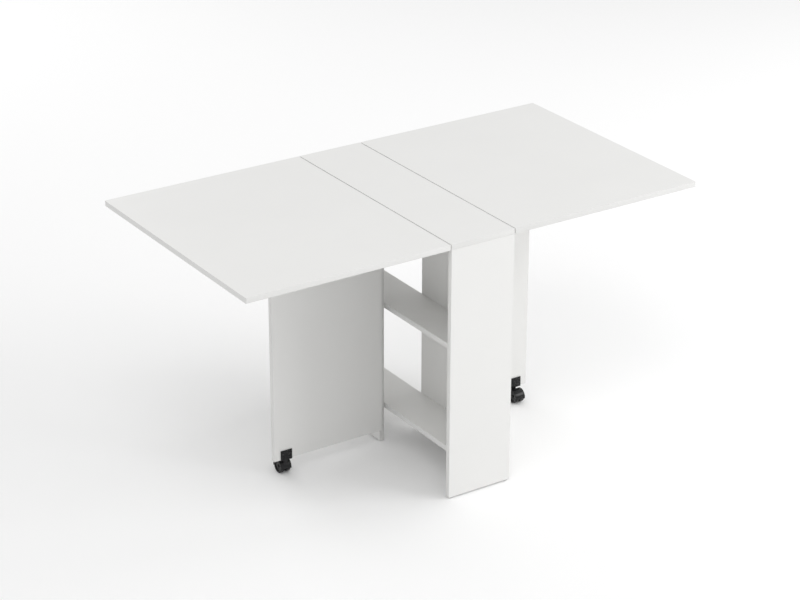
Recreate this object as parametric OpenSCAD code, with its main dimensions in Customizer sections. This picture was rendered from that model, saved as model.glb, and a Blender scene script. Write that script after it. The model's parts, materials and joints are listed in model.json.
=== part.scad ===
// Gateleg table: a narrow open case with two shelves, a drop leaf on each side,
// and two flat gate legs that swing out on twin-wheel casters to hold the leaves.
// +X runs along the opened table, +Y from front to rear, +Z up.
// The origin is on the floor, at the middle of the case.
// The table looks the same after half a turn about +Z, so each left part is
// drawn once and its right-hand twin is that part turned by 180 degrees.

/* [Table] */
// Height of the table top above the floor
table_h = 740; // [650:5:800]
// Depth of the table, front to rear
table_d = 750; // [600:10:900]
// Length of one leaf, from its seam to its outer edge
leaf_len = 602; // [500:1:750]
// Width of the fixed centre top and of the two end panels
case_w = 198; // [165:1:260]
// Gap between the centre top and each leaf
seam = 3; // [2.5:0.5:6]
// Plan radius of the leaves' outer corners
corner_r = 3; // [2.5:0.5:15]

/* [Boards] */
// Thickness of every board
board = 15; // [12.5:0.5:18]
// Thickness of the edging glued round the boards
edging = 1; // [0.5:0.1:2]
// Height of the end and side panels above the floor
foot_h = 4; // [3:0.5:10]
// Set-back of the side panels from the edges of the end panels
side_inset = 23; // [18:1:35]
// Height of the upper shelf's top face
upper_shelf_h = 424; // [360:2:500]
// Height of the lower shelf's top face
lower_shelf_h = 119; // [110:1:200]
// Relief between a shelf's open edge and the folded gate leg
shelf_relief = 0.5; // [0.4:0.1:2]

/* [Gate legs] */
// Gap between the gate legs' top edge and the leaves
leg_top_gap = 7; // [6.5:0.5:12]
// Gap between a folded gate leg and the end panel beyond it
leg_end_gap = 11.5; // [10:0.5:25]
// Distance from the hinge axis to the near edge of each board
hinge_gap = 1.5; // [1:0.1:2]

/* [Hinges] */
// Length of a butt hinge
hinge_len = 50; // [40:2:70]
// Width of one hinge plate, from the axis to its free edge
hinge_w = 22; // [18:1:30]
// Thickness of a hinge plate
hinge_t = 1.3; // [1:0.1:1.6]
// Radius of the hinge barrel
barrel_r = 2.5; // [2.2:0.1:2.7]
// Radius of the hinge pin
pin_r = 1.25; // [1:0.05:1.5]
// Distance from the leaf hinges to the inner faces of the end panels
leaf_hinge_inset = 120; // [80:5:160]
// Distance from a gate leg's lower edge to its lowest hinge's middle
gate_hinge_low = 103; // [75:1:160]
// Distance from a gate leg's top edge to its highest hinge's middle
gate_hinge_high = 78; // [50:1:140]

/* [Casters] */
// Wheel diameter
wheel_d = 38; // [32:1:40]
// Width of one wheel
wheel_w = 11; // [9:0.5:12]
// Distance between the middles of the two wheels
wheel_pitch = 20.5; // [20:0.5:26]
// Distance from the swivel axis back to the axle
caster_trail = 14; // [10:1:18]
// Distance from the gate leg's outer edge to the swivel axis
caster_inset = 37; // [30:1:50]
// Gap between a caster's hood and the bracket above it
caster_gap = 4.6; // [2:0.1:12]
// Width of the bracket that clips over the gate leg
bracket_w = 35; // [30:1:40]
// Height of the bracket's two cheeks
bracket_h = 30; // [28:1:40]
// Thickness of the bracket's cheeks
bracket_t = 2.4; // [2:0.1:3.5]
// Thickness of the bracket's floor
bracket_floor = 2; // [1.5:0.1:4]
// Radius of the swivel stem
stem_r = 3; // [2.5:0.1:3.4]
// Radius of the axle
axle_r = 2.5; // [2:0.1:3]

/* [Fittings] */
// Radius of a cam lock
cam_r = 7.5; // [6:0.5:8]
// Depth of a cam lock in its board
cam_depth = 12; // [10:0.5:12.5]
// Distance from a joint to the middle of its cam lock
cam_reach = 34; // [24:1:40]
// Radius of a wooden dowel
dowel_r = 4; // [3:0.5:4]
// Length of a wooden dowel
dowel_len = 30; // [25:1:40]
// Radius of a wood screw's shank
screw_r = 1.5; // [1.2:0.1:1.8]
// Length of a wood screw
screw_len = 12; // [9:0.5:12.5]

/* [Fits] */
// Gap round a screw, dowel, lock or pin pressed into its hole
snug = 0.05; // [0.02:0.01:0.1]
// Radial gap of a pin or an axle that turns in its bore
running = 0.05; // [0.02:0.01:0.1]
// Gap between two parts that pass each other
clear = 0.3; // [0.3:0.1:0.6]

/* [Hidden] */

$fn = 48;

// Colours
white = [0.93, 0.93, 0.92];
edge_white = [0.88, 0.88, 0.87];
zinc = [0.72, 0.73, 0.75];
beech = [0.80, 0.66, 0.45];
black = [0.07, 0.07, 0.07];
tyre_grey = [0.13, 0.13, 0.13];
glide_grey = [0.55, 0.55, 0.54];

// Case
under_top = table_h - board;             // underside of the centre top and leaves
half_case = case_w / 2;
half_d = table_d / 2;
inner_y = half_d - board;                // inner face of an end panel
side_out = half_case - side_inset;       // outer face of a side panel
side_in = side_out - board;              // inner face of a side panel
side_start = hinge_gap;                  // free edge of the left side panel, in Y

// Hinge: the plate's mounting face is this far from the pin's axis
plate_off = barrel_r + clear;
knuckles = 5;
knuckle_len = hinge_len / knuckles;
knuckle_gap = 0.2;                       // end play between two knuckles
hinge_screw_x = hinge_w - 8;             // the screws' distance from the axis
hinge_screw_z = hinge_len / 2 - 9;       // and from the plate's middle

// Leaves
leaf_axis_x = half_case + seam / 2;
leaf_start = half_case + seam;
leaf_axis_z = under_top - plate_off;
leaf_hinge_y = [-(inner_y - leaf_hinge_inset), 0, inner_y - leaf_hinge_inset];

// Height of the casters, which carry the gate legs
wheel_r = wheel_d / 2;
well_r = wheel_r + 1;                    // room for a wheel under the hood
hood_t = 1.4;
hood_r = well_r + hood_t;
bracket_z = wheel_r + hood_r + caster_gap;   // underside of the bracket
leg_bottom = bracket_z + bracket_floor;  // lower edge of the gate legs

// Gate legs, drawn swung out
gate_axis_x = side_out + plate_off;      // the left axis is at minus this, Y = 0
gate_w = inner_y - leg_end_gap - hinge_gap;
gate_near = gate_axis_x + hinge_gap;     // edge of the leg beside its hinge
gate_far = gate_near + gate_w;           // outer edge of the leg
gate_y = -plate_off;                     // hinge-side face of the left leg
gate_mid = gate_y - board / 2;           // middle plane of the left leg
leg_top = under_top - leg_top_gap;
low_hinge_z = leg_bottom + gate_hinge_low;
high_hinge_z = leg_top - gate_hinge_high;
gate_hinge_z = [low_hinge_z, (low_hinge_z + high_hinge_z) / 2, high_hinge_z];

// Screws
screw_head_r = screw_r * 2;
screw_head_h = hinge_t;                  // a countersunk head fills its plate
cross_w = screw_r * 0.4;                 // width of the cross recess
cross_len = screw_head_r * 1.3;          // length of the cross recess
screw_point = 2;                         // length of the tapered point
screw_tip_r = 0.3;

// Stop under a leaf
stop_len = 30;                           // along X
stop_x = gate_far - caster_inset - stop_len;
stop_ramp = 22;                          // run of the lead-in ramp
stop_lip = 9;                            // thickness of the lip
stop_lip_h = 8;                          // reach of the lip below the leg's top
stop_foot = 1.5;                         // ramp's thin end
stop_chamfer = 3;
stop_run = 2;                            // level seat beyond the leg's far face
stop_screw_seat = 3;                     // the screw heads' depth below the leaf
stop_seat = leg_top_gap - clear;         // thickness over the leg

// Casters: the left swivel axis
caster_x = -(gate_far - caster_inset);
wheel_mid = wheel_pitch / 2;
wheel_in = wheel_mid - wheel_w / 2;      // inner face of a wheel
wheel_out = wheel_mid + wheel_w / 2;     // outer face of a wheel
tyre_t = 2.5;
wheel_play = 0.7;                        // gap beside a wheel, towards the web
web_half = wheel_in - wheel_play;        // half the web between the wheels
web_r = wheel_r * 0.55;
hood_half = wheel_out + 0.4;             // half the hood's width
skirt_z = wheel_r - 4;                   // lower edge of the hood
neck_r = stem_r + 4;                     // neck of the hood, round the stem
neck_start = wheel_r + 2;
socket_r = stem_r + 2;                   // outside of the stem socket
socket_top = bracket_z + bracket_h;
stem_top = socket_top - 2;
stem_tip = 1;                            // chamfer at the stem's top
stem_start = wheel_r + 4;                // foot of the stem, inside the hood
hub_r = wheel_r - tyre_t;
rim_t = 2.2;                             // wall of the wheel's rim
hub_face = 1.6;                          // depth of the boss below the wheel's face
dish = 2.8;                              // depth of the wheel's dished face
boss_r = axle_r + 2;
wheel_hole_r = 1.3;                      // the two moulding holes of a wheel
tread_round = 1.6;                       // radius of the tyre's shoulders
axle_head = 1;
axle_head_r = axle_r + 1.2;
axle_half = wheel_out - hub_face + 0.2;  // from the middle to a head's inner face
rib_count = 6;                           // grip ribs across each cheek
rib_proud = 0.5;
rib_half = 0.6;
rib_inset = 1.5;
bracket_screw_len = board / 2 + bracket_t;
bracket_screw_inset = 6;
bracket_screw_z = leg_bottom + bracket_h / 2 - 4;
bracket_screw_step = 5;                  // offset between the two cheeks' screws

// Cam locks
bolt_r = 2.5;
bolt_head_r = 3.4;
bolt_head_len = 6;
bolt_thread = 10;                        // length screwed into the other board
bolt_bore_r = 3.9;
cam_slot_r = bolt_head_r + 0.2;
cam_key_half = 0.9;                      // half the width of the driver slot
cam_key_deep = 1.5;
cam_x = side_in - 26;
side_cam_z = [(lower_shelf_h + upper_shelf_h - board) / 2,
              (upper_shelf_h + under_top) / 2];
side_span = inner_y - side_start;        // length of a side panel
top_cam_y = side_start + side_span / 2;

// Dowels
dowel_in = 10;                           // depth in a board's face
end_dowel_x = half_case - 23;
side_dowel_y = [side_start + side_span / 4, side_start + side_span * 3 / 4];

// Glides
glide_r = board / 2 - 0.5;
glide_round = 1;                         // chamfer round a glide's foot
glide_inset = 11;                        // from a panel's edge to its glides
nail_r = 1.1;
nail_len = 12;
side_glide_inset = 35;
side_glide_y = [side_start + side_glide_inset, inner_y - side_glide_inset];

eps = 0.01;

// ---- Shared shapes ----

// Turns one part into the pair that stands on both sides of the case
module both_sides() {
    for (turn = [0, 180]) rotate([0, 0, turn]) children();
}

// Box between two corners
module block(low, high) {
    translate(low) cube(high - low);
}

// Plan of a board from x = 0 to l, with its two far corners rounded
module far_round(l, w, r) {
    translate([0, -w / 2]) square([l - r, w]);
    translate([l - r, r - w / 2]) square([r, w - 2 * r]);
    for (s = [-1, 1]) translate([l - r, s * (w / 2 - r)]) circle(r);
}

// Countersunk wood screw, driven along +X, its head's face at x = 0
module wood_screw(head_h, len) {
    difference() {
        rotate([0, 90, 0]) union() {
            cylinder(h = head_h, r1 = screw_head_r, r2 = screw_r);
            cylinder(h = len - screw_point, r = screw_r);
            translate([0, 0, len - screw_point]) cylinder(h = screw_point, r1 = screw_r, r2 = screw_tip_r);
        }
        for (turn = [0, 90]) rotate([turn, 0, 0])
            block([-eps, -cross_len / 2, -cross_w / 2],
                  [head_h * 0.6, cross_len / 2, cross_w / 2]);
    }
}

// Room for a wood screw in the plate and in the board behind it
module screw_room(head_h, len) {
    rotate([0, 90, 0]) {
        translate([0, 0, -eps]) cylinder(h = head_h + eps, r1 = screw_head_r + snug, r2 = screw_r + snug);
        cylinder(h = len + snug, r = screw_r + snug);
    }
}

// Butt hinge plate: the pin lies on Z, the board is beyond y = plate_off,
// and the plate runs towards +X. first says which knuckles are its own.
module hinge_plate(first) {
    difference() {
        union() {
            block([barrel_r + 0.5, plate_off - hinge_t, -hinge_len / 2],
                  [hinge_w, plate_off, hinge_len / 2]);
            for (k = [first : 2 : knuckles - 1]) {
                z0 = -hinge_len / 2 + k * knuckle_len + (k == 0 ? 0 : knuckle_gap / 2);
                z1 = -hinge_len / 2 + (k + 1) * knuckle_len
                     - (k == knuckles - 1 ? 0 : knuckle_gap / 2);
                translate([0, 0, z0]) cylinder(h = z1 - z0, r = barrel_r);
                block([0, plate_off - hinge_t, z0], [barrel_r + 1, plate_off, z1]);
            }
        }
        translate([0, 0, -hinge_len / 2 - 1]) cylinder(h = hinge_len + 2, r = pin_r + running);
        hinge_screws_at() screw_room(hinge_t, screw_len);
    }
}

// Places a child at each screw of a hinge plate, driven towards the board
module hinge_screws_at() {
    for (s = [-1, 1])
        translate([hinge_screw_x, plate_off - hinge_t, s * hinge_screw_z])
            rotate([0, 0, 90]) children();
}

// Hinge pin, flush with the barrel's ends
module hinge_pin() {
    translate([0, 0, -hinge_len / 2]) cylinder(h = hinge_len, r = pin_r);
}

// Frames of the right leaf's hinges: the case's plate, then the leaf's
module leaf_hinges_at() {
    for (y = leaf_hinge_y)
        translate([leaf_axis_x, y, leaf_axis_z]) rotate([90, 0, 180]) children();
}

module leaf_plates_at() {
    leaf_hinges_at() mirror([1, 0, 0]) children();
}

// Frames of the left gate leg's hinges: the case's plate, then the leg's
module gate_hinges_at() {
    for (z = gate_hinge_z)
        translate([-gate_axis_x, 0, z]) rotate([180, 0, 90]) children();
}

module gate_plates_at() {
    for (z = gate_hinge_z)
        translate([-gate_axis_x, 0, z]) rotate([180, 0, 0]) mirror([1, 0, 0]) children();
}

// ---- Cam joints and dowels ----
// In a joint's own frame x = 0 is the face that the joined board's edge meets,
// +X runs into the joined board, and the lock opens on its -Z face.

module cam_lock() {
    difference() {
        translate([cam_reach, 0, -board / 2]) cylinder(h = cam_depth, r = cam_r);
        rotate([0, 90, 0]) cylinder(h = cam_reach + 1, r = cam_slot_r);
        translate([cam_reach, 0, -board / 2 - eps])
            block([-cam_r * 0.6, -cam_key_half, 0], [cam_r * 0.6, cam_key_half, cam_key_deep]);
    }
}

module cam_bolt() {
    rotate([0, 90, 0]) {
        translate([0, 0, -bolt_thread]) cylinder(h = bolt_thread + cam_reach - bolt_head_len, r = bolt_r);
        translate([0, 0, cam_reach - bolt_head_len]) cylinder(h = bolt_head_len, r = bolt_head_r);
    }
}

// Everything a cam joint removes from the two boards
module cam_room() {
    translate([cam_reach, 0, -board / 2 - eps]) cylinder(h = cam_depth + snug + eps, r = cam_r + snug);
    rotate([0, 90, 0]) cylinder(h = cam_reach, r = bolt_bore_r);
    rotate([0, -90, 0]) cylinder(h = bolt_thread + snug, r = bolt_r + snug);
}

// A dowel along X, dowel_in of it behind x = 0
module dowel(grow = 0) {
    translate([-dowel_in - grow, 0, 0]) rotate([0, 90, 0])
        cylinder(h = dowel_len + 2 * grow, r = dowel_r + grow);
}

// Joints between a shelf and the end panels
module shelf_joints(top_z) {
    for (s = [-1, 1], x = [-cam_x, cam_x])
        translate([x, s * inner_y, top_z - board / 2]) rotate([0, 0, -s * 90]) children();
}

// Joints between the centre top and the end panels
module top_joints() {
    for (s = [-1, 1], x = [-cam_x, cam_x])
        translate([x, s * (half_d - board / 2), under_top]) rotate([0, 90, s * 90]) children();
}

// Joints of the left side panel, with the rear end panel and with the top
module side_joints() {
    for (z = side_cam_z)
        translate([-side_in - board / 2, inner_y, z]) rotate([90, 0, -90]) children();
    translate([-side_in - board / 2, top_cam_y, under_top]) rotate([0, 90, 180]) children();
}

// Dowels between the centre top and the end panels
module end_dowels() {
    for (s = [-1, 1], x = [-end_dowel_x, end_dowel_x])
        translate([x, s * (half_d - board / 2), under_top]) rotate([0, 90, 0]) children();
}

// Dowels of the left side panel, with the top and with the two shelves
module side_dowels() {
    for (y = side_dowel_y) {
        translate([-side_in - board / 2, y, under_top]) rotate([0, 90, 0]) children();
        for (z = [upper_shelf_h, lower_shelf_h])
            translate([-side_in, y, z - board / 2]) children();
    }
}

// ---- Case ----

module top_panel() {
    color(white) difference() {
        block([edging - half_case, edging - half_d, under_top],
              [half_case - edging, half_d - edging, table_h]);
        top_joints() cam_room();
        end_dowels() dowel(snug);
        both_sides() {
            side_joints() cam_room();
            side_dowels() dowel(snug);
            leaf_hinges_at() hinge_screws_at() screw_room(hinge_t, screw_len);
        }
    }
}

module top_edging() {
    color(edge_white) difference() {
        block([-half_case, -half_d, under_top], [half_case, half_d, table_h]);
        block([edging - half_case, edging - half_d, under_top - 1],
              [half_case - edging, half_d - edging, table_h + 1]);
    }
}

// The rear end panel, which the left side panel meets
module rear_end_panel() {
    color(white) difference() {
        block([edging - half_case, inner_y, foot_h], [half_case - edging, half_d, under_top]);
        top_joints() cam_room();
        end_dowels() dowel(snug);
        for (z = [upper_shelf_h, lower_shelf_h]) shelf_joints(z) cam_room();
        side_joints() cam_room();
        end_glides_at() nail(snug);
    }
}

module rear_end_edging() {
    color(edge_white) for (s = [0, 1]) mirror([s, 0, 0])
        block([half_case - edging, inner_y, foot_h], [half_case, half_d, under_top]);
}

module front_end_panel() {
    rotate([0, 0, 180]) rear_end_panel();
}

module front_end_edging() {
    rotate([0, 0, 180]) rear_end_edging();
}

module left_side_panel() {
    color(white) difference() {
        block([-side_out, side_start + edging, foot_h], [-side_in, inner_y, under_top]);
        side_joints() cam_room();
        side_dowels() dowel(snug);
        gate_hinges_at() hinge_screws_at() screw_room(hinge_t, screw_len);
        side_glides_at() nail(snug);
    }
}

module left_side_edging() {
    color(edge_white)
        block([-side_out, side_start, foot_h], [-side_in, side_start + edging, under_top]);
}

module right_side_panel() {
    rotate([0, 0, 180]) left_side_panel();
}

module right_side_edging() {
    rotate([0, 0, 180]) left_side_edging();
}

// A shelf meets the side panels, and stops short of the folded gate legs
module shelf(top_z) {
    low_z = top_z - board;
    open_x = side_in - shelf_relief;
    color(white) difference() {
        union() {
            block([edging - open_x, -inner_y, low_z], [open_x - edging, inner_y, top_z]);
            both_sides() block([-side_in, side_start, low_z], [0, inner_y, top_z]);
        }
        shelf_joints(top_z) cam_room();
        both_sides() side_dowels() dowel(snug);
    }
}

// Edging along the two stretches of a shelf that the side panels leave open
module shelf_edging(top_z) {
    open_x = side_in - shelf_relief;
    color(edge_white) both_sides()
        block([-open_x, -inner_y, top_z - board], [edging - open_x, side_start, top_z]);
}

module upper_shelf() {
    shelf(upper_shelf_h);
}

module upper_shelf_edging() {
    shelf_edging(upper_shelf_h);
}

module lower_shelf() {
    shelf(lower_shelf_h);
}

module lower_shelf_edging() {
    shelf_edging(lower_shelf_h);
}

// ---- Glides ----

module nail(grow = 0) {
    translate([0, 0, foot_h - eps]) cylinder(h = nail_len + grow, r = nail_r + grow);
}

module glide() {
    cylinder(h = glide_round, r1 = glide_r - glide_round, r2 = glide_r);
    translate([0, 0, glide_round]) cylinder(h = foot_h - glide_round, r = glide_r);
    nail();
}

module end_glides_at() {
    for (x = [-1, 1] * (half_case - glide_inset))
        translate([x, half_d - board / 2, 0]) children();
}

module side_glides_at() {
    for (y = side_glide_y) translate([-side_in - board / 2, y, 0]) children();
}

module case_glides() {
    color(glide_grey) both_sides() {
        end_glides_at() glide();
        side_glides_at() glide();
    }
}

// ---- Case fittings ----

// Places a child at every cam joint of the case
module cam_joints() {
    top_joints() children();
    for (z = [upper_shelf_h, lower_shelf_h]) shelf_joints(z) children();
    both_sides() side_joints() children();
}

module cam_locks() {
    color(zinc) cam_joints() cam_lock();
}

module cam_bolts() {
    color(zinc) cam_joints() cam_bolt();
}

module wood_dowels() {
    color(beech) {
        end_dowels() dowel();
        both_sides() side_dowels() dowel();
    }
}

module leaf_hinge_case_plates() {
    color(zinc) both_sides() leaf_hinges_at() hinge_plate(0);
}

module leaf_hinge_pins() {
    color(zinc) both_sides() leaf_hinges_at() hinge_pin();
}

module gate_hinge_case_plates() {
    color(zinc) both_sides() gate_hinges_at() hinge_plate(0);
}

module gate_hinge_pins() {
    color(zinc) both_sides() gate_hinges_at() hinge_pin();
}

module case_hinge_screws() {
    color(zinc) both_sides() {
        leaf_hinges_at() hinge_screws_at() wood_screw(screw_head_h, screw_len);
        gate_hinges_at() hinge_screws_at() wood_screw(screw_head_h, screw_len);
    }
}

// ---- Leaves ----

module right_leaf() {
    color(white) difference() {
        translate([leaf_start + edging, 0, under_top]) linear_extrude(board)
            far_round(leaf_len - 2 * edging, table_d - 2 * edging, corner_r - edging);
        leaf_plates_at() hinge_screws_at() screw_room(hinge_t, screw_len);
        stop_screws_at() screw_room(screw_head_h, screw_len);
    }
}

module right_leaf_edging() {
    color(edge_white) translate([leaf_start, 0, under_top]) linear_extrude(board) difference() {
        far_round(leaf_len, table_d, corner_r);
        translate([edging, 0])
            far_round(leaf_len - 2 * edging, table_d - 2 * edging, corner_r - edging);
    }
}

module right_leaf_hinge_plates() {
    color(zinc) leaf_plates_at() hinge_plate(1);
}

// Block that the right gate leg slides under, with a lip that halts it
module right_leaf_stop() {
    leg_face = -gate_y;                  // hinge-side face of the right leg
    seat_end = leg_face + board + stop_run;
    lip_face = leg_face - clear;
    profile = [
        [lip_face - stop_lip, 0], [seat_end + stop_ramp, 0],
        [seat_end + stop_ramp, -stop_foot], [seat_end, -stop_seat],
        [lip_face, -stop_seat], [lip_face, -leg_top_gap - stop_lip_h],
        [lip_face - stop_lip + stop_chamfer, -leg_top_gap - stop_lip_h],
        [lip_face - stop_lip, -leg_top_gap - stop_lip_h + stop_chamfer]
    ];
    color(edge_white) difference() {
        translate([stop_x, 0, under_top]) rotate([90, 0, 90]) linear_extrude(stop_len) polygon(profile);
        stop_screws_at() screw_room(screw_head_h, screw_len);
        stop_screws_at() translate([-stop_seat, 0, 0]) rotate([0, 90, 0])
            cylinder(h = stop_seat, r = screw_head_r + 0.4);
    }
}

// The stop's two screws, driven up into the leaf beside the leg's path
module stop_screws_at() {
    for (x = [0.25, 0.75] * stop_len)
        translate([stop_x + x, -gate_y + board / 2, under_top - stop_screw_seat])
            rotate([0, -90, 0]) children();
}

module right_leaf_screws() {
    color(zinc) {
        leaf_plates_at() hinge_screws_at() wood_screw(screw_head_h, screw_len);
        stop_screws_at() wood_screw(screw_head_h, screw_len);
    }
}

module left_leaf() {
    rotate([0, 0, 180]) right_leaf();
}

module left_leaf_edging() {
    rotate([0, 0, 180]) right_leaf_edging();
}

module left_leaf_hinge_plates() {
    rotate([0, 0, 180]) right_leaf_hinge_plates();
}

module left_leaf_stop() {
    rotate([0, 0, 180]) right_leaf_stop();
}

module left_leaf_screws() {
    rotate([0, 0, 180]) right_leaf_screws();
}

// ---- Gate legs ----

// The left gate leg's outline, taken in by inset on every edge
module gate_block(inset, thick_more = 0) {
    block([inset - gate_far, gate_y - board - thick_more, leg_bottom + inset],
          [-gate_near - inset, gate_y + thick_more, leg_top - inset]);
}

module left_gate_leg() {
    color(white) difference() {
        gate_block(edging);
        gate_plates_at() hinge_screws_at() screw_room(hinge_t, screw_len);
        bracket_screws_at() screw_room(screw_head_h, screw_len);
        socket_room();
    }
}

module left_gate_edging() {
    color(edge_white) difference() {
        gate_block(0);
        gate_block(edging, 1);
        socket_room();
    }
}

module left_gate_hinge_plates() {
    color(zinc) gate_plates_at() hinge_plate(1);
}

module left_gate_screws() {
    color(zinc) gate_plates_at() hinge_screws_at() wood_screw(screw_head_h, screw_len);
}

module right_gate_leg() {
    rotate([0, 0, 180]) left_gate_leg();
}

module right_gate_edging() {
    rotate([0, 0, 180]) left_gate_edging();
}

module right_gate_hinge_plates() {
    rotate([0, 0, 180]) left_gate_hinge_plates();
}

module right_gate_screws() {
    rotate([0, 0, 180]) left_gate_screws();
}

// ---- Casters ----
// In a caster's own frame the swivel axis is Z and the wheels trail towards +Y.

module at_caster() {
    translate([caster_x, gate_mid, 0]) children();
}

module at_wheels() {
    at_caster() translate([0, caster_trail, wheel_r]) children();
}

// Hole in the leg's lower edge for the stem socket
module socket_room() {
    at_caster() translate([0, 0, leg_bottom - 1])
        cylinder(h = socket_top - leg_bottom + 1 + snug, r = socket_r + snug);
}

// Two screws through each cheek, those of one cheek above those of the other
module bracket_screws_at() {
    for (side = [-1, 1], x = [-1, 1] * (bracket_w / 2 - bracket_screw_inset))
        at_caster()
            translate([x, side * (board / 2 + bracket_t), bracket_screw_z - side * bracket_screw_step])
                rotate([0, 0, -side * 90]) children();
}

module left_caster_bracket() {
    cheek_out = board / 2 + bracket_t;
    rib_pitch = bracket_h / (rib_count + 1);
    color(black) difference() {
        union() {
            at_caster() difference() {
                union() {
                    block([-bracket_w / 2, -cheek_out, bracket_z], [bracket_w / 2, cheek_out, socket_top]);
                    for (k = [1 : rib_count]) translate([0, 0, bracket_z + k * rib_pitch])
                        block([rib_inset - bracket_w / 2, -cheek_out - rib_proud, -rib_half],
                              [bracket_w / 2 - rib_inset, cheek_out + rib_proud, rib_half]);
                }
                block([-bracket_w / 2 - 1, -board / 2, leg_bottom],
                      [bracket_w / 2 + 1, board / 2, socket_top + 1]);
            }
            at_caster() translate([0, 0, leg_bottom - 1])
                cylinder(h = socket_top - leg_bottom + 1, r = socket_r);
        }
        at_caster() translate([0, 0, bracket_z - 1])
            cylinder(h = stem_top - bracket_z + 1 + clear, r = stem_r + running);
        bracket_screws_at() screw_room(screw_head_h, screw_len);
        bracket_screws_at() translate([-rib_proud - 1, 0, 0]) rotate([0, 90, 0])
            cylinder(h = rib_proud + 1, r = screw_head_r + 0.3);
    }
}

module left_bracket_screws() {
    color(black) bracket_screws_at() wood_screw(screw_head_h, bracket_screw_len);
}

// Hood over the wheels, its web between them and the boss that holds the stem
module left_caster_hood() {
    color(black) difference() {
        union() {
            at_wheels() rotate([0, 90, 0]) difference() {
                translate([0, 0, -hood_half]) cylinder(h = 2 * hood_half, r = hood_r);
                block([wheel_r - skirt_z, -hood_r - 1, -hood_half - 1],
                      [hood_r + 1, hood_r + 1, hood_half + 1]);
            }
            at_wheels() rotate([0, 90, 0]) translate([0, 0, -web_half])
                cylinder(h = 2 * web_half, r = web_r);
            at_caster() translate([0, 0, neck_start])
                cylinder(h = bracket_z - clear - neck_start, r = neck_r);
        }
        for (s = [-1, 1]) at_wheels() rotate([0, s * 90, 0]) translate([0, 0, web_half])
            cylinder(h = hood_half + 5, r = well_r);
        at_wheels() rotate([0, 90, 0]) translate([0, 0, -hood_half])
            cylinder(h = 2 * hood_half, r = axle_r + snug);
        at_caster() translate([0, 0, stem_start - snug])
            cylinder(h = bracket_z - stem_start + 1, r = stem_r + snug);
    }
}

module left_caster_stem() {
    color(zinc) at_caster() {
        translate([0, 0, stem_start]) cylinder(h = stem_top - stem_tip - stem_start, r = stem_r);
        translate([0, 0, stem_top - stem_tip]) cylinder(h = stem_tip, r1 = stem_r, r2 = stem_r - stem_tip);
    }
}

// Axle with a riveted head outside each wheel
module left_caster_axle() {
    color(black) at_wheels() rotate([0, 90, 0]) {
        translate([0, 0, -axle_half]) cylinder(h = 2 * axle_half, r = axle_r);
        for (s = [0, 1]) mirror([0, 0, s])
            translate([0, 0, axle_half]) cylinder(h = axle_head, r = axle_head_r);
    }
}

// Wheel centre: side is -1 for the outer wheel and 1 for the inner one.
// Its profile is drawn as radius against distance from the wheel's middle.
module wheel_core(side) {
    half = wheel_w / 2;
    color(black) at_wheels() translate([side * wheel_mid, 0, 0]) rotate([0, side * 90, 0])
        difference() {
            rotate_extrude($fn = 96) difference() {
                translate([axle_r + running, -half]) square([hub_r - axle_r - running, wheel_w]);
                // dished outer face round the boss, inside the rim
                translate([boss_r, half - dish]) square([hub_r - boss_r - rim_t, dish + 1]);
                translate([0, half - hub_face]) square([boss_r + 1, hub_face + 1]);
                // hollow inner face
                translate([boss_r, -half - 1]) square([hub_r - boss_r - rim_t, dish + 1]);
            }
            for (a = [0, 180]) rotate([0, 0, a]) translate([hub_r * 0.5, 0, -half - 1])
                cylinder(h = wheel_w + 2, r = wheel_hole_r);
        }
}

// Tyre with a crowned tread and rounded shoulders
module wheel_tyre(side) {
    half = wheel_w / 2;
    color(tyre_grey) at_wheels() translate([side * wheel_mid, 0, 0]) rotate([0, 90, 0])
        rotate_extrude($fn = 96) difference() {
            union() {
                translate([hub_r, -half]) square([tyre_t - tread_round, wheel_w]);
                translate([hub_r, tread_round - half]) square([tyre_t, wheel_w - 2 * tread_round]);
                for (s = [-1, 1]) translate([wheel_r - tread_round, s * (half - tread_round)])
                    circle(tread_round);
            }
            translate([hub_r - tread_round, -half]) square([tread_round, wheel_w]);
        }
}

module left_outer_wheel() {
    wheel_core(-1);
}

module left_outer_tyre() {
    wheel_tyre(-1);
}

module left_inner_wheel() {
    wheel_core(1);
}

module left_inner_tyre() {
    wheel_tyre(1);
}

module right_caster_bracket() {
    rotate([0, 0, 180]) left_caster_bracket();
}

module right_bracket_screws() {
    rotate([0, 0, 180]) left_bracket_screws();
}

module right_caster_hood() {
    rotate([0, 0, 180]) left_caster_hood();
}

module right_caster_stem() {
    rotate([0, 0, 180]) left_caster_stem();
}

module right_caster_axle() {
    rotate([0, 0, 180]) left_caster_axle();
}

module right_outer_wheel() {
    rotate([0, 0, 180]) wheel_core(-1);
}

module right_outer_tyre() {
    rotate([0, 0, 180]) wheel_tyre(-1);
}

module right_inner_wheel() {
    rotate([0, 0, 180]) wheel_core(1);
}

module right_inner_tyre() {
    rotate([0, 0, 180]) wheel_tyre(1);
}

top_panel();
top_edging();
front_end_panel();
front_end_edging();
rear_end_panel();
rear_end_edging();
left_side_panel();
left_side_edging();
right_side_panel();
right_side_edging();
upper_shelf();
upper_shelf_edging();
lower_shelf();
lower_shelf_edging();
case_glides();
cam_locks();
cam_bolts();
wood_dowels();
leaf_hinge_case_plates();
leaf_hinge_pins();
gate_hinge_case_plates();
gate_hinge_pins();
case_hinge_screws();
left_leaf();
left_leaf_edging();
left_leaf_hinge_plates();
left_leaf_stop();
left_leaf_screws();
right_leaf();
right_leaf_edging();
right_leaf_hinge_plates();
right_leaf_stop();
right_leaf_screws();
left_gate_leg();
left_gate_edging();
left_gate_hinge_plates();
left_gate_screws();
left_caster_bracket();
left_bracket_screws();
left_caster_hood();
left_caster_stem();
left_caster_axle();
left_outer_wheel();
left_outer_tyre();
left_inner_wheel();
left_inner_tyre();
right_gate_leg();
right_gate_edging();
right_gate_hinge_plates();
right_gate_screws();
right_caster_bracket();
right_bracket_screws();
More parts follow.
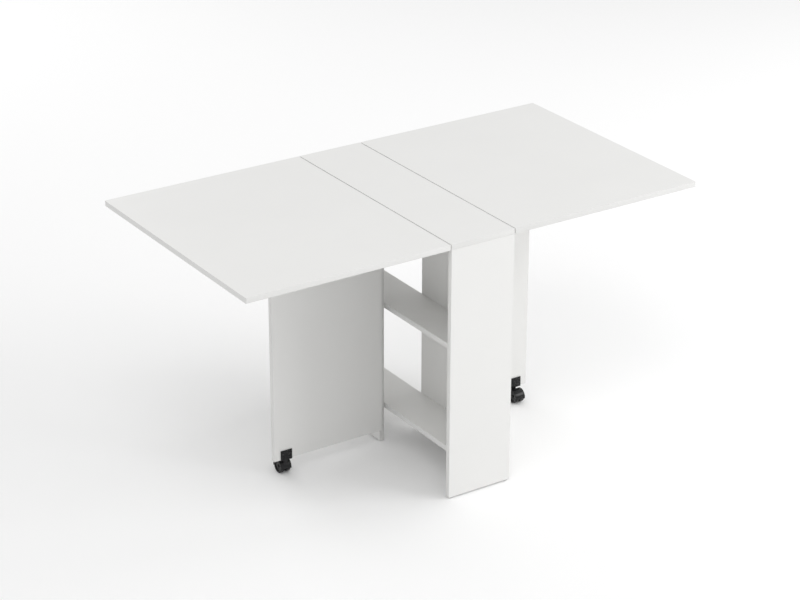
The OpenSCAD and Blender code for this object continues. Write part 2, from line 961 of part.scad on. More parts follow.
right_caster_hood();
right_caster_stem();
right_caster_axle();
right_outer_wheel();
right_outer_tyre();
right_inner_wheel();
right_inner_tyre();
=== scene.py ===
"""Gateleg table: finishes, softened hardware and a plain studio, built round the
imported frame."""
import json
import math

import bmesh
import bpy
from bpy.props import BoolProperty, FloatProperty, FloatVectorProperty, PointerProperty
from mathutils import Matrix, Vector


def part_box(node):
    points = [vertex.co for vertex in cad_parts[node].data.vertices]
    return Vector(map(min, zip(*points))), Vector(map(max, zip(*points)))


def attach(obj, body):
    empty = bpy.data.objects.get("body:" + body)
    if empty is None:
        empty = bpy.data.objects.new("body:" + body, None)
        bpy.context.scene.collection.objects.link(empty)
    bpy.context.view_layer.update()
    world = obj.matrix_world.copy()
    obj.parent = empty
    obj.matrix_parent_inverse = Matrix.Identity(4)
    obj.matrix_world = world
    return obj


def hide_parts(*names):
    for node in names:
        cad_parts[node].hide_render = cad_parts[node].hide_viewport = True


bl_info = {
    "name": "Gateleg table",
    "version": (1, 0, 0),
    "blender": (4, 5, 0),
    "location": "3D View > Sidebar > Gateleg table",
    "description": "Finishes the boards, hinges and casters of a gateleg table and lights it",
    "category": "Object",
}

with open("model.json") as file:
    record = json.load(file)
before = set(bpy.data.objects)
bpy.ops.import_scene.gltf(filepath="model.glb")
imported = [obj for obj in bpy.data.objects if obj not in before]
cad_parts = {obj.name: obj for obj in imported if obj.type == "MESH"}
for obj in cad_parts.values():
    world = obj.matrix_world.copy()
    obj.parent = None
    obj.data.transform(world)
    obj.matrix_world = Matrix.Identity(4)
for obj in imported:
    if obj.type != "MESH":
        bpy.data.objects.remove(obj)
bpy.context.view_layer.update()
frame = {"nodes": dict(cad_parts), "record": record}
NODES = frame["nodes"]
MM = 0.001
WELD = 0.002 * MM                 # vertices closer than this are one
FLAT = math.radians(0.5)          # triangles that meet flatter than this are one face
SHARP = 40                        # degrees; edges sharper than this are softened
SMOOTH = 35                       # degrees; edges flatter than this are shaded smooth
ARRIS_REACH = 0.95 * MM           # the outer edges lie this close to the edging's box
FLOOR_HALF = 40                   # half the floor's side, in metres
LIGHT_AIM = (0, 0, 0.45)          # the point that the lights face
SIDES = ("left", "right")

BOARDS = [n for n in NODES if n.endswith(("_panel", "_shelf", "_leaf", "_gate_leg"))]
EDGINGS = [n for n in NODES if n.endswith("_edging")]
HINGE_PARTS = [n for n in NODES
               if "hinge_plates" in n or "hinge_case_plates" in n or n.endswith("_pins")]
STEEL_SCREWS = [n for n in NODES if n.endswith("_screws") and "bracket" not in n]


# ---- Settings ----

class BoardSettings(bpy.types.PropertyGroup):
    """Colours and arrises of the melamine boards."""
    face_colour: FloatVectorProperty(
        name="Face colour", description="Colour of the boards' foil", subtype="COLOR",
        size=3, min=0, max=1, default=(0.80, 0.798, 0.785))
    edging_colour: FloatVectorProperty(
        name="Edging colour", description="Colour of the edging", subtype="COLOR",
        size=3, min=0, max=1, default=(0.75, 0.748, 0.735))
    face_arris: FloatProperty(
        name="Face arris", description="Bevel where a face meets its edging",
        unit="LENGTH", min=0.00005, max=0.001, default=0.00012)
    edging_arris: FloatProperty(
        name="Edging arris", description="Radius along the outer edges of the edging",
        unit="LENGTH", min=0.0001, max=0.001, default=0.0007)


class HardwareSettings(bpy.types.PropertyGroup):
    """Colours and edge radii of the metal and plastic parts."""
    steel_colour: FloatVectorProperty(
        name="Steel", description="Colour of the zinc-plated steel", subtype="COLOR",
        size=3, min=0, max=1, default=(0.58, 0.59, 0.61))
    plastic_colour: FloatVectorProperty(
        name="Caster plastic", description="Colour of the black nylon", subtype="COLOR",
        size=3, min=0, max=1, default=(0.011, 0.011, 0.012))
    glide_colour: FloatVectorProperty(
        name="Glides", description="Colour of the glides' plastic", subtype="COLOR",
        size=3, min=0, max=1, default=(0.55, 0.55, 0.54))
    tread_colour: FloatVectorProperty(
        name="Tread", description="Colour of the wheels' soft tread", subtype="COLOR",
        size=3, min=0, max=1, default=(0.014, 0.014, 0.0145))
    steel_arris: FloatProperty(
        name="Steel edge radius", description="Bevel on plates, pins and screws",
        unit="LENGTH", min=0.00005, max=0.0005, default=0.00015)
    plastic_arris: FloatProperty(
        name="Plastic edge radius", description="Bevel on moulded parts",
        unit="LENGTH", min=0.0001, max=0.001, default=0.00045)
    hood_arris: FloatProperty(
        name="Hood edge radius", description="Rounding along the casters' hoods",
        unit="LENGTH", min=0.0001, max=0.0007, default=0.00065)


class StageSettings(bpy.types.PropertyGroup):
    """Floor, lights and camera."""
    azimuth: FloatProperty(
        name="Azimuth", description="Direction of the camera round the table",
        subtype="ANGLE", default=math.radians(-33.348))
    elevation: FloatProperty(
        name="Elevation", description="Height of the camera above the horizon",
        subtype="ANGLE", default=math.radians(24.480))
    roll: FloatProperty(
        name="Roll", description="Turn of the camera about its own line of sight",
        subtype="ANGLE", default=math.radians(0.156))
    distance: FloatProperty(
        name="Distance", description="From the camera to the point it looks at",
        unit="LENGTH", min=1, default=6.6079)
    target: FloatVectorProperty(
        name="Target", description="Point that the camera looks at",
        subtype="TRANSLATION", size=3, default=(-0.0062, 0.0055, 0.4176))
    lens: FloatProperty(
        name="Lens", description="Focal length of the camera", subtype="DISTANCE_CAMERA",
        min=20, default=108.43)
    floor_colour: FloatVectorProperty(
        name="Floor colour", description="Colour of the plain floor", subtype="COLOR",
        size=3, min=0, max=1, default=(0.97, 0.97, 0.97))
    ambient: FloatProperty(
        name="Ambient", description="Strength of the even studio light", min=0, default=0.655)
    light_size: FloatProperty(
        name="Light size", description="Side of each square light", unit="LENGTH", min=0.1, default=3.0)
    light_distance: FloatProperty(
        name="Light distance", description="From the lights to the table", unit="LENGTH",
        min=1, default=5.5)
    show_floor: BoolProperty(
        name="Floor", description="Lay the floor under the table", default=True)


# Each light's azimuth and elevation in degrees, and its power in watts
LIGHTS = {"Key": (45, 25, 92), "Overhead": (-45, 55, 58), "Side": (90, 25, 51), "Back": (180, 25, 42)}


# ---- Shader node helpers ----

def add(tree, kind, **values):
    """Adds a node and sets its properties, and its inputs by name."""
    node = tree.nodes.new(kind)
    for key, value in values.items():
        if hasattr(node, key):
            setattr(node, key, value)
        else:
            node.inputs[key.replace("_", " ").title()].default_value = value
    return node


def maths(tree, operation, first, second=None, clamp=False):
    """Adds a Math node; its inputs are sockets or numbers."""
    node = tree.nodes.new("ShaderNodeMath")
    node.operation = operation
    node.use_clamp = clamp
    for socket, value in zip(node.inputs, (first, second)):
        if isinstance(value, bpy.types.NodeSocket):
            tree.links.new(value, socket)
        elif value is not None:
            socket.default_value = value
    return node.outputs[0]


def ramp(tree, value, low, high, to_low=0.0, to_high=1.0):
    """Maps a value from low..high to to_low..to_high, clamped."""
    node = tree.nodes.new("ShaderNodeMapRange")
    tree.links.new(value, node.inputs["Value"])
    for name, number in zip(("From Min", "From Max", "To Min", "To Max"), (low, high, to_low, to_high)):
        node.inputs[name].default_value = number
    return node.outputs["Result"]


def blend(tree, mask, low, high):
    """Mixes two colours, each a socket or a triple, by a mask."""
    node = tree.nodes.new("ShaderNodeMix")
    node.data_type = "RGBA"
    tree.links.new(mask, node.inputs["Factor"])
    for name, value in (("A", low), ("B", high)):
        socket = [s for s in node.inputs if s.name == name and s.type == "RGBA"][0]
        if isinstance(value, bpy.types.NodeSocket):
            tree.links.new(value, socket)
        else:
            socket.default_value = (*value, 1)
    return [s for s in node.outputs if s.type == "RGBA"][0]


def noise(tree, vector, scale, detail=3.0, roughness=0.5, stretch=None):
    """Noise texture; scale is in cells per metre, and stretch scales each axis."""
    if stretch:
        mapping = add(tree, "ShaderNodeMapping")
        mapping.inputs["Scale"].default_value = stretch
        tree.links.new(vector, mapping.inputs["Vector"])
        vector = mapping.outputs["Vector"]
    node = tree.nodes.new("ShaderNodeTexNoise")
    tree.links.new(vector, node.inputs["Vector"])
    if isinstance(scale, bpy.types.NodeSocket):
        tree.links.new(scale, node.inputs["Scale"])
    else:
        node.inputs["Scale"].default_value = scale
    node.inputs["Detail"].default_value = detail
    node.inputs["Roughness"].default_value = roughness
    return node.outputs["Fac"]


def new_group(name, inputs, outputs):
    """Starts a shader node group with named float or vector sockets."""
    tree = bpy.data.node_groups.new(name, "ShaderNodeTree")
    for title, kind, value in inputs:
        socket = tree.interface.new_socket(title, in_out="INPUT", socket_type=kind)
        if value is not None:
            socket.default_value = value
    for title in outputs:
        tree.interface.new_socket(title, in_out="OUTPUT", socket_type="NodeSocketFloat")
    return tree, tree.nodes.new("NodeGroupInput"), tree.nodes.new("NodeGroupOutput")


def foil_group():
    """Melamine foil: a fine pearl, a broad mottle and faint wiping marks."""
    tree, source, out = new_group(
        "Melamine foil",
        [("Vector", "NodeSocketVector", None), ("Pearl Scale", "NodeSocketFloat", 900.0),
         ("Mottle Scale", "NodeSocketFloat", 5.0)],
        ("Height", "Mottle", "Wipe"))
    vector = source.outputs["Vector"]
    pearl = noise(tree, vector, source.outputs["Pearl Scale"], 2.0, 0.6)
    cells = add(tree, "ShaderNodeTexVoronoi", feature="SMOOTH_F1")
    tree.links.new(vector, cells.inputs["Vector"])
    tree.links.new(source.outputs["Pearl Scale"], cells.inputs["Scale"])
    pits = maths(tree, "MULTIPLY", cells.outputs["Distance"], 0.4)
    height = maths(tree, "ADD", maths(tree, "MULTIPLY", pearl, 0.6), pits)
    tree.links.new(height, out.inputs["Height"])
    mottle = noise(tree, vector, source.outputs["Mottle Scale"], 4.0, 0.55)
    tree.links.new(ramp(tree, mottle, 0.3, 0.7), out.inputs["Mottle"])
    wipe = noise(tree, vector, 3.0, 5.0, 0.65, stretch=(1.0, 5.0, 5.0))
    tree.links.new(ramp(tree, wipe, 0.42, 0.75), out.inputs["Wipe"])
    return tree


def grain_group():
    """Fine sparked grain of a moulded surface, with a mask for its gloss."""
    tree, source, out = new_group(
        "Moulded grain",
        [("Vector", "NodeSocketVector", None), ("Scale", "NodeSocketFloat", 1500.0)],
        ("Height", "Mask"))
    fine = noise(tree, source.outputs["Vector"], source.outputs["Scale"], 3.0, 0.7)
    tree.links.new(fine, out.inputs["Height"])
    broad = noise(tree, source.outputs["Vector"], 60.0, 3.0, 0.5)
    tree.links.new(ramp(tree, broad, 0.35, 0.7), out.inputs["Mask"])
    return tree


def scuff_highlight_group():
    """Mask of edges, broken up by noise: partly scuffing, partly a painted edge highlight."""
    tree, source, out = new_group(
        "Scuffed edges and painted highlight",
        [("Vector", "NodeSocketVector", None), ("Radius", "NodeSocketFloat", 0.0006),
         ("Amount", "NodeSocketFloat", 0.5)],
        ("Mask",))
    rounded = add(tree, "ShaderNodeBevel", samples=4)
    tree.links.new(source.outputs["Radius"], rounded.inputs["Radius"])
    surface = tree.nodes.new("ShaderNodeNewGeometry")
    # The mask rises where the bevelled normal turns away, lightening edges: partly scuffing and partly
    # a painted edge highlight.
    dot = add(tree, "ShaderNodeVectorMath", operation="DOT_PRODUCT")
    tree.links.new(rounded.outputs["Normal"], dot.inputs[0])
    tree.links.new(surface.outputs["Normal"], dot.inputs[1])
    edge = ramp(tree, dot.outputs["Value"], 0.99, 0.80)
    patch = ramp(tree, noise(tree, source.outputs["Vector"], 220.0, 4.0, 0.6), 0.4, 0.65)
    scuff_and_highlight = maths(tree, "MULTIPLY", maths(tree, "MULTIPLY", edge, patch), source.outputs["Amount"], True)
    tree.links.new(scuff_and_highlight, out.inputs["Mask"])
    return tree


def dust_group():
    """Specks of dust that thin out with height above the floor."""
    tree, source, out = new_group(
        "Settled dust",
        [("Vector", "NodeSocketVector", None), ("Reach", "NodeSocketFloat", 0.05),
         ("Amount", "NodeSocketFloat", 0.3)],
        ("Mask",))
    parts = tree.nodes.new("ShaderNodeSeparateXYZ")
    tree.links.new(source.outputs["Vector"], parts.inputs[0])
    rise = maths(tree, "DIVIDE", parts.outputs["Z"], source.outputs["Reach"])
    low = maths(tree, "SUBTRACT", 1.0, rise, True)
    speck = ramp(tree, noise(tree, source.outputs["Vector"], 320.0, 5.0, 0.75), 0.45, 0.72)
    mask = maths(tree, "MULTIPLY", maths(tree, "MULTIPLY", low, speck), source.outputs["Amount"], True)
    tree.links.new(mask, out.inputs["Mask"])
    return tree


def brush_group():
    """Rolled steel: long fine streaks and the soft spangle of its zinc."""
    tree, source, out = new_group(
        "Rolled streaks",
        [("Vector", "NodeSocketVector", None), ("Streak Scale", "NodeSocketFloat", 260.0)],
        ("Height", "Streak", "Spangle"))
    streak = noise(tree, source.outputs["Vector"], source.outputs["Streak Scale"], 4.0, 0.6,
                   stretch=(8.0, 8.0, 0.6))
    tree.links.new(streak, out.inputs["Height"])
    tree.links.new(ramp(tree, streak, 0.3, 0.7), out.inputs["Streak"])
    cells = tree.nodes.new("ShaderNodeTexVoronoi")
    cells.inputs["Scale"].default_value = 420.0
    tree.links.new(source.outputs["Vector"], cells.inputs["Vector"])
    colour = tree.nodes.new("ShaderNodeSeparateColor")
    tree.links.new(cells.outputs["Color"], colour.inputs[0])
    tree.links.new(colour.outputs[0], out.inputs["Spangle"])
    return tree


def place(tree, group, vector, **values):
    """Places a node group in a material, with its own values."""
    node = tree.nodes.new("ShaderNodeGroup")
    node.node_tree = group
    tree.links.new(vector, node.inputs["Vector"])
    for key, value in values.items():
        node.inputs[key.replace("_", " ").title()].default_value = value
    return node.outputs


def new_material(name, **values):
    """Starts a material: returns it, its tree, its Principled shader and Object coordinates."""
    material = bpy.data.materials.new(name)
    material.use_nodes = True
    tree = material.node_tree
    shader = tree.nodes["Principled BSDF"]
    for key, value in values.items():
        shader.inputs[key.replace("_", " ").title().replace("Ior", "IOR")].default_value = value
    coords = tree.nodes.new("ShaderNodeTexCoord")
    return material, tree, shader, coords.outputs["Object"]


def bump(tree, shader, height, distance, strength=1.0):
    """Feeds a height to the shader's normal; distance is in metres."""
    node = add(tree, "ShaderNodeBump")
    node.inputs["Strength"].default_value = strength
    node.inputs["Distance"].default_value = distance
    tree.links.new(height, node.inputs["Height"])
    tree.links.new(node.outputs["Normal"], shader.inputs["Normal"])


def tint(colour, factor):
    """A colour made darker or lighter."""
    return tuple(min(1.0, c * factor) for c in colour)


# ---- Materials ----

def white_foil(groups, colour):
    """Matt white melamine foil on the boards' faces."""
    material, tree, shader, vector = new_material("White melamine", roughness=0.45)
    foil = place(tree, groups["foil"], vector, pearl_scale=850.0, mottle_scale=4.0)
    base = blend(tree, foil["Mottle"], tint(colour, 0.985), colour)
    tree.links.new(base, shader.inputs["Base Color"])
    rough = maths(tree, "ADD", maths(tree, "MULTIPLY", foil["Wipe"], -0.07), 0.46)
    tree.links.new(rough, shader.inputs["Roughness"])
    bump(tree, shader, foil["Height"], 0.00003, 0.5)
    return material


def white_edging(groups, colour):
    """Plastic edging: a touch glossier, with faint drawn lines along it."""
    material, tree, shader, vector = new_material("White edging", roughness=0.36)
    foil = place(tree, groups["foil"], vector, pearl_scale=500.0, mottle_scale=9.0)
    base = blend(tree, foil["Mottle"], tint(colour, 0.975), colour)
    tree.links.new(base, shader.inputs["Base Color"])
    lines = noise(tree, vector, 700.0, 2.0, 0.5, stretch=(0.02, 0.02, 1.0))
    tree.links.new(ramp(tree, lines, 0.3, 0.7, 0.32, 0.42), shader.inputs["Roughness"])
    pearl = maths(tree, "MULTIPLY", foil["Height"], 0.5)
    bump(tree, shader, maths(tree, "ADD", lines, pearl), 0.00002, 0.5)
    return material


def plated_steel(groups, colour):
    """Zinc-plated rolled steel of the hinges and screws."""
    material, tree, shader, vector = new_material("Zinc-plated steel", metallic=1.0)
    streaks = place(tree, groups["brush"], vector)
    scuffed_highlit = place(tree, groups["edge_scuff_highlight"], vector, radius=0.0004, amount=0.7)
    base = blend(tree, streaks["Spangle"], tint(colour, 0.86), tint(colour, 1.08))
    # Edges lightened by the mask: partly scuffed plating, partly a painted edge highlight.
    base = blend(tree, scuffed_highlit["Mask"], base, tint(colour, 1.35))
    tree.links.new(base, shader.inputs["Base Color"])
    rough = maths(tree, "ADD", maths(tree, "MULTIPLY", streaks["Streak"], 0.16), 0.26)
    tree.links.new(rough, shader.inputs["Roughness"])
    bump(tree, shader, streaks["Height"], 0.00002, 0.4)
    return material


def cast_zinc(groups, colour):
    """Dull die-cast zinc of the cam locks."""
    material, tree, shader, vector = new_material("Cast zinc", metallic=1.0)
    grain = place(tree, groups["grain"], vector, scale=900.0)
    scuffed_highlit = place(tree, groups["edge_scuff_highlight"], vector, radius=0.0005, amount=0.8)
    base = blend(tree, grain["Mask"], tint(colour, 0.72), tint(colour, 0.9))
    # Edges lightened by the mask: partly scuffed zinc, partly a painted edge highlight.
    base = blend(tree, scuffed_highlit["Mask"], base, tint(colour, 1.2))
    tree.links.new(base, shader.inputs["Base Color"])
    tree.links.new(ramp(tree, grain["Height"], 0.3, 0.7, 0.42, 0.6), shader.inputs["Roughness"])
    bump(tree, shader, grain["Height"], 0.00006, 0.5)
    return material


def beech_wood():
    """Turned beech of the dowels: growth bands and short dark flecks."""
    material, tree, shader, vector = new_material("Beech", roughness=0.6)
    warp = noise(tree, vector, 40.0, 3.0, 0.5)
    bands = add(tree, "ShaderNodeTexWave", bands_direction="Y")
    tree.links.new(vector, bands.inputs["Vector"])
    bands.inputs["Scale"].default_value = 110.0
    bands.inputs["Distortion"].default_value = 4.0
    fleck = ramp(tree, noise(tree, vector, 900.0, 2.0, 0.5, stretch=(0.15, 1.0, 1.0)), 0.6, 0.72)
    base = blend(tree, bands.outputs["Fac"], (0.60, 0.42, 0.24), (0.70, 0.52, 0.32))
    base = blend(tree, maths(tree, "MULTIPLY", fleck, 0.6), base, (0.38, 0.24, 0.13))
    tree.links.new(base, shader.inputs["Base Color"])
    bump(tree, shader, maths(tree, "ADD", warp, bands.outputs["Fac"]), 0.00005, 0.4)
    return material


def black_nylon(groups, colour):
    """Moulded black nylon with a fine grain, greyed at its edges by scuffing and by a painted edge
    highlight.
    """
    material, tree, shader, vector = new_material("Black nylon", specular_ior_level=0.3)
    grain = place(tree, groups["grain"], vector, scale=1400.0)
    scuffed_highlit = place(tree, groups["edge_scuff_highlight"], vector, radius=0.0006, amount=0.3)
    dusty = place(tree, groups["dust"], vector, reach=0.05, amount=0.04)
    base = blend(tree, grain["Mask"], tint(colour, 0.8), tint(colour, 1.25))
    # Edges greyed by the mask: partly scuffing, partly a painted edge highlight.
    base = blend(tree, scuffed_highlit["Mask"], base, (0.06, 0.06, 0.063))
    base = blend(tree, dusty["Mask"], base, (0.35, 0.34, 0.32))
    tree.links.new(base, shader.inputs["Base Color"])
    rough = maths(tree, "ADD", maths(tree, "MULTIPLY", grain["Mask"], 0.08), 0.17)
    tree.links.new(rough, shader.inputs["Roughness"])
    bump(tree, shader, grain["Height"], 0.00004, 0.5)
    return material


def soft_tread(groups, colour):
    """Matt tread, dusty near the floor."""
    material, tree, shader, vector = new_material("Soft tread", specular_ior_level=0.35)
    grain = place(tree, groups["grain"], vector, scale=2200.0)
    dusty = place(tree, groups["dust"], vector, reach=0.03, amount=0.12)
    base = blend(tree, grain["Mask"], tint(colour, 0.85), tint(colour, 1.2))
    base = blend(tree, dusty["Mask"], base, (0.30, 0.29, 0.27))
    tree.links.new(base, shader.inputs["Base Color"])
    rough = maths(tree, "ADD", maths(tree, "MULTIPLY", grain["Mask"], 0.12), 0.36)
    tree.links.new(rough, shader.inputs["Roughness"])
    bump(tree, shader, grain["Height"], 0.00008, 0.7)
    return material


def white_nylon(groups):
    """Moulded white nylon of the stop blocks."""
    material, tree, shader, vector = new_material("White nylon")
    grain = place(tree, groups["grain"], vector, scale=1200.0)
    base = blend(tree, grain["Mask"], (0.74, 0.74, 0.72), (0.80, 0.80, 0.78))
    tree.links.new(base, shader.inputs["Base Color"])
    tree.links.new(ramp(tree, grain["Height"], 0.3, 0.7, 0.38, 0.5), shader.inputs["Roughness"])
    bump(tree, shader, grain["Height"], 0.00004, 0.5)
    return material


def grey_nylon(groups, colour):
    """Moulded light grey plastic of the glides, scuffed where they stand."""
    material, tree, shader, vector = new_material("Grey nylon")
    grain = place(tree, groups["grain"], vector, scale=1200.0)
    dusty = place(tree, groups["dust"], vector, reach=0.003, amount=0.5)
    base = blend(tree, grain["Mask"], tint(colour, 0.93), tint(colour, 1.05))
    base = blend(tree, dusty["Mask"], base, tint(colour, 0.5))
    tree.links.new(base, shader.inputs["Base Color"])
    tree.links.new(ramp(tree, grain["Height"], 0.3, 0.7, 0.4, 0.55), shader.inputs["Roughness"])
    bump(tree, shader, grain["Height"], 0.00004, 0.5)
    return material


def black_steel(groups):
    """Black-coated screws of the caster brackets."""
    material, tree, shader, vector = new_material("Black-coated steel", metallic=0.6)
    grain = place(tree, groups["grain"], vector, scale=1800.0)
    scuffed_highlit = place(tree, groups["edge_scuff_highlight"], vector, radius=0.0003, amount=0.8)
    base = blend(tree, grain["Mask"], (0.018, 0.018, 0.019), (0.030, 0.030, 0.031))
    # Edges lightened by the mask: partly scuffed coating, partly a painted edge highlight.
    base = blend(tree, scuffed_highlit["Mask"], base, (0.30, 0.30, 0.31))
    tree.links.new(base, shader.inputs["Base Color"])
    tree.links.new(ramp(tree, grain["Height"], 0.3, 0.7, 0.3, 0.45), shader.inputs["Roughness"])
    bump(tree, shader, grain["Height"], 0.00003, 0.5)
    return material


# ---- Mesh helpers ----

def set_material(piece, material):
    """Gives an object one material in place of those it has."""
    piece.data.materials.clear()
    piece.data.materials.append(material)


def merged_copy(node):
    """A bmesh of a CAD node with its loose triangles joined and flat faces made whole."""
    mesh = bmesh.new()
    mesh.from_mesh(NODES[node].data)
    bmesh.ops.remove_doubles(mesh, verts=mesh.verts, dist=WELD)
    bmesh.ops.dissolve_limit(mesh, angle_limit=FLAT, verts=mesh.verts, edges=mesh.edges)
    bmesh.ops.recalc_face_normals(mesh, faces=mesh.faces)
    return mesh


def soften(mesh, radius, segments, chosen=None):
    """Bevels the sharp edges, or those of them that a test picks."""
    sharp = math.radians(SHARP)
    edges = [e for e in mesh.edges if len(e.link_faces) == 2 and e.calc_face_angle(0) > sharp]
    if chosen:
        edges = [e for e in edges if chosen(e)]
    bmesh.ops.bevel(
        mesh, geom=edges, offset=radius, offset_type="OFFSET", segments=segments,
        affect="EDGES", profile=0.5, clamp_overlap=True, material=-1)


def finish_piece(name, mesh, material, node):
    """Makes a bmesh into a piece that stands for a CAD node and rides on its body."""
    data = bpy.data.meshes.new(name)
    limit = math.radians(SMOOTH)
    for face in mesh.faces:
        face.smooth = True
    for edge in mesh.edges:
        edge.smooth = len(edge.link_faces) == 2 and edge.calc_face_angle(math.pi) < limit
    mesh.to_mesh(data)
    mesh.free()
    piece = bpy.data.objects.new(name, data)
    bpy.context.scene.collection.objects.link(piece)
    set_material(piece, material)
    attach(piece, body_of(node))
    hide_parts(node)


def body_of(node):
    """The body that a CAD node rides on."""
    for body, members in frame["record"]["behaviour"]["bodies"].items():
        if node in members:
            return body
    raise ValueError(f"{node} is on no body")


def softened(node, name, material, radius, segments=2):
    """Adds a piece that stands for a CAD node, with its sharp edges softened."""
    mesh = merged_copy(node)
    soften(mesh, radius, segments)
    finish_piece(name, mesh, material, node)


def materials():
    """The finishes, made once and found again by name."""
    scene = bpy.context.scene
    if "White melamine" not in bpy.data.materials:
        groups = {"foil": foil_group(), "grain": grain_group(), "edge_scuff_highlight": scuff_highlight_group(),
                  "dust": dust_group(), "brush": brush_group()}
        boards, hardware = scene.gateleg_boards, scene.gateleg_hardware
        steel = tuple(hardware.steel_colour)
        white_foil(groups, tuple(boards.face_colour))
        white_edging(groups, tuple(boards.edging_colour))
        plated_steel(groups, steel)
        cast_zinc(groups, steel)
        beech_wood()
        black_nylon(groups, tuple(hardware.plastic_colour))
        soft_tread(groups, tuple(hardware.tread_colour))
        white_nylon(groups)
        grey_nylon(groups, tuple(hardware.glide_colour))
        black_steel(groups)
    return bpy.data.materials


# ---- Pieces ----

class GATELEG_OT_boards(bpy.types.Operator):
    """Finish the faces of the boards"""
    bl_idname = "gateleg.boards"
    bl_label = "Boards"

    def execute(self, context):
        foil = materials()["White melamine"]
        arris = context.scene.gateleg_boards.face_arris
        for node in BOARDS:
            piece = NODES[node]
            set_material(piece, foil)
            weld = piece.modifiers.new("Join triangles", "WELD")
            weld.merge_threshold = WELD
            edge = piece.modifiers.new("Arris", "BEVEL")
            edge.width = arris
            edge.segments = 1
            edge.limit_method = "ANGLE"
            edge.angle_limit = math.radians(SHARP)
        return {"FINISHED"}


class GATELEG_OT_edging(bpy.types.Operator):
    """Round the outer edges of the edging"""
    bl_idname = "gateleg.edging"
    bl_label = "Edging"

    def execute(self, context):
        material = materials()["White edging"]
        radius = context.scene.gateleg_boards.edging_arris
        for node in EDGINGS:
            low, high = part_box(node)
            plan = (0, 2) if "gate" in node else (0, 1)
            if "side" in node or "shelf" in node or "end" in node:
                plan = (0,)

            def outer(edge, low=low, high=high, plan=plan):
                middle = (edge.verts[0].co + edge.verts[1].co) / 2
                inset = min(min(middle[a] - low[a], high[a] - middle[a]) for a in plan)
                return inset < ARRIS_REACH

            mesh = merged_copy(node)
            soften(mesh, radius, 3, outer)
            finish_piece(node + "_rounded", mesh, material, node)
        return {"FINISHED"}


class GATELEG_OT_hinges(bpy.types.Operator):
    """Soften and plate the hinges and their screws"""
    bl_idname = "gateleg.hinges"
    bl_label = "Hinges"

    def execute(self, context):
        steel = materials()["Zinc-plated steel"]
        radius = context.scene.gateleg_hardware.steel_arris
        for node in HINGE_PARTS + STEEL_SCREWS:
            softened(node, node + "_plated", steel, radius)
        return {"FINISHED"}


class GATELEG_OT_case_fittings(bpy.types.Operator):
    """Finish the cam locks, dowels, glides and stop blocks"""
    bl_idname = "gateleg.case_fittings"
    bl_label = "Case fittings"

    def execute(self, context):
        finish = materials()
        radius = context.scene.gateleg_hardware.steel_arris
        plastic = context.scene.gateleg_hardware.plastic_arris
        softened("cam_locks", "cam_locks_cast", finish["Cast zinc"], radius)
        softened("cam_bolts", "cam_bolts_turned", finish["Zinc-plated steel"], radius)
        softened("wood_dowels", "wood_dowels_turned", finish["Beech"], 0.6 * MM)
        softened("case_glides", "case_glides_moulded", finish["Grey nylon"], plastic)
        for side in SIDES:
            softened(f"{side}_leaf_stop", f"{side}_leaf_stop_moulded", finish["White nylon"],
                     plastic, 3)
        return {"FINISHED"}


class GATELEG_OT_casters(bpy.types.Operator):
    """Soften and finish the casters"""
    bl_idname = "gateleg.casters"
    bl_label = "Casters"

    def execute(self, context):
        finish = materials()
        settings = context.scene.gateleg_hardware
        nylon, tread = finish["Black nylon"], finish["Soft tread"]
        steel, coated = finish["Zinc-plated steel"], finish["Black-coated steel"]
        for side in SIDES:
            softened(f"{side}_caster_bracket", f"{side}_bracket_moulded", nylon,
                     settings.plastic_arris)
            softened(f"{side}_caster_hood", f"{side}_hood_moulded", nylon,
                     settings.hood_arris, 4)
            softened(f"{side}_bracket_screws", f"{side}_bracket_screws_coated", coated,
                     settings.steel_arris)
            softened(f"{side}_caster_stem", f"{side}_stem_plated", steel,
                     settings.steel_arris)
            softened(f"{side}_caster_axle", f"{side}_axle_coated", coated,
                     settings.plastic_arris, 3)
            for which in ("outer", "inner"):
                softened(f"{side}_{which}_wheel", f"{side}_{which}_wheel_moulded", nylon,
                         settings.plastic_arris, 3)
                softened(f"{side}_{which}_tyre", f"{side}_{which}_tyre_moulded", tread,
                         settings.steel_arris)
        return {"FINISHED"}


# ---- Stage ----

def direction(azimuth, elevation):
    """Unit vector towards a place round the table; azimuth 0 is the front."""
    flat = math.cos(elevation)
    return Vector((math.sin(azimuth) * flat, -math.cos(azimuth) * flat, math.sin(elevation)))


def area_light(name, azimuth, elevation, power, stage):
    """A square soft light that faces the table."""
    data = bpy.data.lights.new(name, "AREA")
    data.energy = power
    data.size = stage.light_size
    light = bpy.data.objects.new(name, data)
    bpy.context.scene.collection.objects.link(light)
    towards = direction(math.radians(azimuth), math.radians(elevation))
    light.location = Vector(LIGHT_AIM) + stage.light_distance * towards
    light.rotation_euler = (-towards).to_track_quat("-Z", "Y").to_euler()


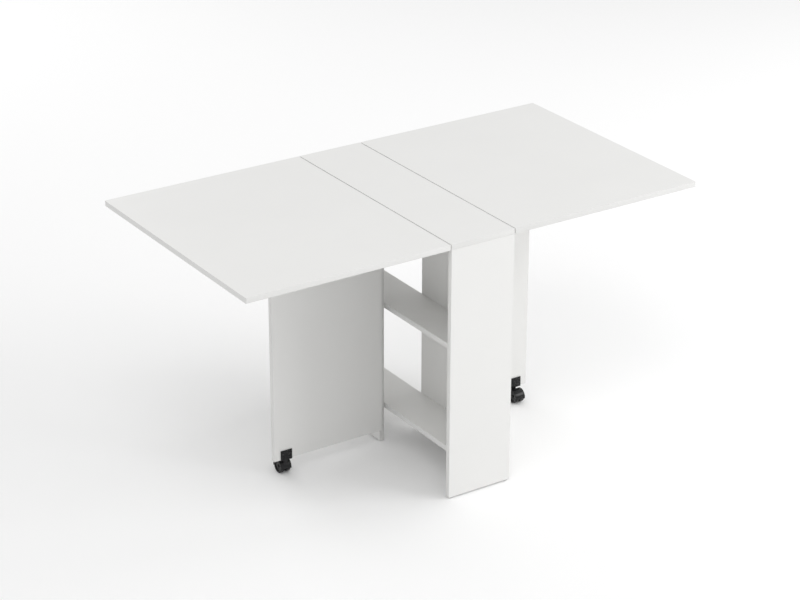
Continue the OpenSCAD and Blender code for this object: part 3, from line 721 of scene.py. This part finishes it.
class GATELEG_OT_stage(bpy.types.Operator):
    """Lay the floor, hang the lights and set the camera"""
    bl_idname = "gateleg.stage"
    bl_label = "Stage"

    def execute(self, context):
        scene = context.scene
        stage = scene.gateleg_stage
        if stage.show_floor:
            mesh = bmesh.new()
            bmesh.ops.create_grid(mesh, x_segments=1, y_segments=1, size=FLOOR_HALF)
            data = bpy.data.meshes.new("Floor")
            mesh.to_mesh(data)
            mesh.free()
            floor = bpy.data.objects.new("Floor", data)
            scene.collection.objects.link(floor)
            material, tree, shader, vector = new_material("Pale floor", roughness=0.9)
            colour = tuple(stage.floor_colour)
            base = blend(tree, noise(tree, vector, 2.0, 2.0), tint(colour, 0.995), colour)
            tree.links.new(base, shader.inputs["Base Color"])
            set_material(floor, material)
        world = bpy.data.worlds.new("Studio")
        world.use_nodes = True
        background = world.node_tree.nodes["Background"]
        background.inputs["Color"].default_value = (1, 1, 1, 1)
        background.inputs["Strength"].default_value = stage.ambient
        scene.world = world
        for name, (azimuth, elevation, power) in LIGHTS.items():
            area_light(name, azimuth, elevation, power, stage)
        scene.view_settings.view_transform = "Standard"

        back = direction(stage.azimuth, stage.elevation)
        data = bpy.data.cameras.new("Camera")
        data.lens = stage.lens
        data.clip_end = 100
        camera = bpy.data.objects.new("Camera", data)
        scene.collection.objects.link(camera)
        camera.location = Vector(stage.target) + stage.distance * back
        turn = (-back).to_track_quat("-Z", "Y").to_matrix() @ Matrix.Rotation(stage.roll, 3, "Z")
        camera.rotation_euler = turn.to_euler()
        scene.camera = camera
        return {"FINISHED"}


class GATELEG_PT_panel(bpy.types.Panel):
    """Lists the table's operators"""
    bl_label = "Gateleg table"
    bl_idname = "GATELEG_PT_panel"
    bl_space_type = "VIEW_3D"
    bl_region_type = "UI"
    bl_category = "Gateleg table"

    def draw(self, context):
        for operator in OPERATORS:
            self.layout.operator(operator.bl_idname)


SETTINGS = {"gateleg_boards": BoardSettings, "gateleg_hardware": HardwareSettings,
            "gateleg_stage": StageSettings}
OPERATORS = (GATELEG_OT_boards, GATELEG_OT_edging, GATELEG_OT_hinges, GATELEG_OT_case_fittings,
             GATELEG_OT_casters, GATELEG_OT_stage)


def register():
    for name, group in SETTINGS.items():
        bpy.utils.register_class(group)
        setattr(bpy.types.Scene, name, PointerProperty(type=group))
    for cls in (*OPERATORS, GATELEG_PT_panel):
        bpy.utils.register_class(cls)


def unregister():
    for cls in reversed((*OPERATORS, GATELEG_PT_panel)):
        bpy.utils.unregister_class(cls)
    for name, group in SETTINGS.items():
        delattr(bpy.types.Scene, name)
        bpy.utils.unregister_class(group)


def main():
    register()
    bpy.ops.gateleg.boards()
    bpy.ops.gateleg.edging()
    bpy.ops.gateleg.hinges()
    bpy.ops.gateleg.case_fittings()
    bpy.ops.gateleg.casters()
    bpy.ops.gateleg.stage()


if __name__ == "__main__":
    main()
